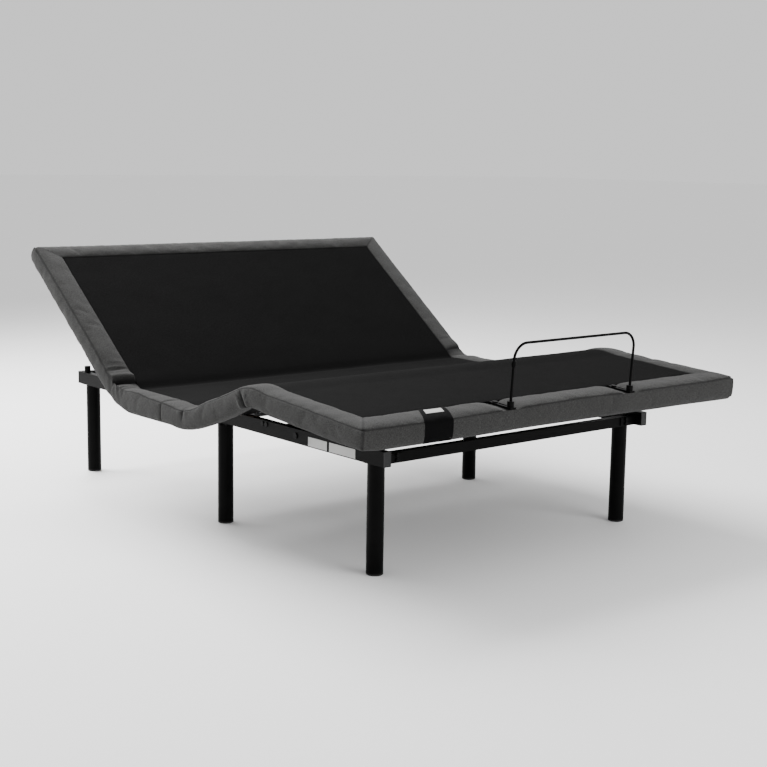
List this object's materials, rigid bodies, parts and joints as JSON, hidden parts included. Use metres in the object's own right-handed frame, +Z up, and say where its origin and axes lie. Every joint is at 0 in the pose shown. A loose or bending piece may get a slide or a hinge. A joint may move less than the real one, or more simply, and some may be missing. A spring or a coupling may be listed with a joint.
{
  "type": "adjustable bed base",
  "caption": "Adjustable bed base: padded head, seat, thigh and leg sections folding on a black steel frame with round legs, driven by linear actuators, with a wire mattress stop.",
  "frame": {"origin": "on the floor, under the middle of the base's box with the head, thigh and foot raised", "axes": "+X across the bed, +Y towards the head end, +Z up"},
  "size_m": [1.524, 1.9562, 0.8461],
  "materials": {
    "black_powder_coat": "satin black powder coat",
    "black_bolt": "black oxide",
    "zinc_steel": "zinc-plated",
    "black_plastic": "fine-grained moulded plastic",
    "nylon": "natural nylon",
    "plywood": "plain plywood",
    "border_fabric": "heather charcoal weave",
    "deck_cloth": "flat black textured weave",
    "rubber": "matte",
    "tube_aluminium": "drawn tube",
    "rod_chrome": "polished rod",
    "label_cloth": "black woven band",
    "blank_white": "white film"
  },
  "bodies": {
    "base": {"side_rail_left": "black_powder_coat", "side_rail_right": "black_powder_coat", "foot_cross_rail": "black_powder_coat", "head_cross_rail": "black_powder_coat", "centre_cross_rails": "black_powder_coat", "frame_brackets": "black_powder_coat", "frame_bolts": "black_bolt", "rail_end_caps": "black_plastic", "head_locating_posts": "black_powder_coat", "leg_mounting_plates": "black_powder_coat", "leg_foot_left": "black_powder_coat", "leg_foot_right": "black_powder_coat", "leg_middle_left": "black_powder_coat", "leg_middle_right": "black_powder_coat", "leg_head_left": "black_powder_coat", "leg_head_right": "black_powder_coat", "leg_studs": "zinc_steel", "leg_glides": "black_plastic", "seat_board": "plywood", "seat_pad": "border_fabric", "seat_isolation_strips": "rubber", "seat_hinge_leaves": "zinc_steel", "seat_hinge_pins": "zinc_steel", "actuator_anchor_brackets": "black_powder_coat", "actuator_anchor_pins": "zinc_steel", "lift_pivot_pins": "black_bolt", "control_box": "black_plastic", "power_inlet": "black_plastic", "blank_plates": "blank_white"},
    "head_section": {"head_board": "plywood", "head_pad": "border_fabric", "head_hinge_leaves": "zinc_steel", "head_frame": "black_powder_coat", "head_levers": "black_powder_coat"},
    "thigh_section": {"thigh_board": "plywood", "thigh_pad": "border_fabric", "thigh_hinge_leaves": "zinc_steel", "crest_hinge_pins": "zinc_steel", "thigh_frame": "black_powder_coat", "thigh_levers": "black_powder_coat"},
    "leg_section": {"leg_board": "plywood", "leg_pad": "border_fabric", "leg_hinge_leaves": "zinc_steel", "roller_tracks": "zinc_steel", "retainer_bar": "black_powder_coat", "retainer_brackets": "black_powder_coat", "retainer_bolts": "black_bolt", "label_band": "label_cloth"},
    "head_actuator": {"head_gear_motor": "black_plastic", "head_actuator_tube": "tube_aluminium"},
    "head_rod": {"head_actuator_rod": "rod_chrome"},
    "foot_actuator": {"foot_gear_motor": "black_plastic", "foot_actuator_tube": "tube_aluminium"},
    "foot_rod": {"foot_actuator_rod": "rod_chrome"},
    "lift_frame": {"lift_torque_tube": "black_powder_coat", "lift_arms": "black_powder_coat", "roller_axles": "zinc_steel"},
    "left_roller": {"roller_left": "nylon"},
    "right_roller": {"roller_right": "nylon"}
  },
  "joints": [
    {"name": "head_lift", "type": "hinge", "parent": "base", "child": "head_section", "pos_m": [0, 0.29187, 0.387], "axis": [1, 0, 0], "range_deg": [-36.5, 23.5]},
    {"name": "foot_lift", "type": "hinge", "parent": "base", "child": "thigh_section", "pos_m": [0, -0.12213, 0.387], "axis": [-1, 0, 0], "range_deg": [-19.2, 15.8]},
    {"name": "crest_fold", "type": "hinge", "parent": "thigh_section", "child": "leg_section", "pos_m": [0, -0.44737, 0.50026], "axis": [1, 0, 0], "range_deg": [-23.21, 19.11]},
    {"name": "head_actuator_swing", "type": "hinge", "parent": "base", "child": "head_actuator", "pos_m": [0.09, -0.18413, 0.3], "axis": [1, 0, 0], "range_deg": [-0.3832, 0.2539]},
    {"name": "head_rod_stroke", "type": "slide", "parent": "head_actuator", "child": "head_rod", "axis": [0, 0.9997, -0.0253], "range_m": [-0.06722, 0.04329]},
    {"name": "foot_actuator_swing", "type": "hinge", "parent": "base", "child": "foot_actuator", "pos_m": [-0.09, 0.35087, 0.29], "axis": [1, 0, 0], "range_deg": [-0.1253, 0.1479]},
    {"name": "foot_rod_stroke", "type": "slide", "parent": "foot_actuator", "child": "foot_rod", "axis": [0, -0.9996, -0.0275], "range_m": [-0.03796, 0.03125]},
    {"name": "leg_support_swing", "type": "hinge", "parent": "base", "child": "lift_frame", "pos_m": [0, -0.39113, 0.351], "axis": [-1, 0, 0], "range_deg": [-19.91, 16.39]},
    {"name": "left_roller_spin", "type": "hinge", "parent": "lift_frame", "child": "left_roller", "pos_m": [-0.3, -0.66095, 0.45728], "axis": [1, 0, 0], "continuous": true},
    {"name": "right_roller_spin", "type": "hinge", "parent": "lift_frame", "child": "right_roller", "pos_m": [0.3, -0.66095, 0.45728], "axis": [1, 0, 0], "continuous": true}
  ],
  "couplings": [
    {"joint": "crest_fold", "follows": "foot_lift", "ratio": 1.208},
    {"joint": "head_actuator_swing", "follows": "head_lift", "ratio": 0.0099511},
    {"joint": "head_rod_stroke", "follows": "head_lift", "m_per_rad": 0.10543},
    {"joint": "foot_actuator_swing", "follows": "foot_lift", "ratio": -0.0066631},
    {"joint": "foot_rod_stroke", "follows": "foot_lift", "m_per_rad": 0.11313},
    {"joint": "leg_support_swing", "follows": "foot_lift", "ratio": 1.0358}
  ]
}
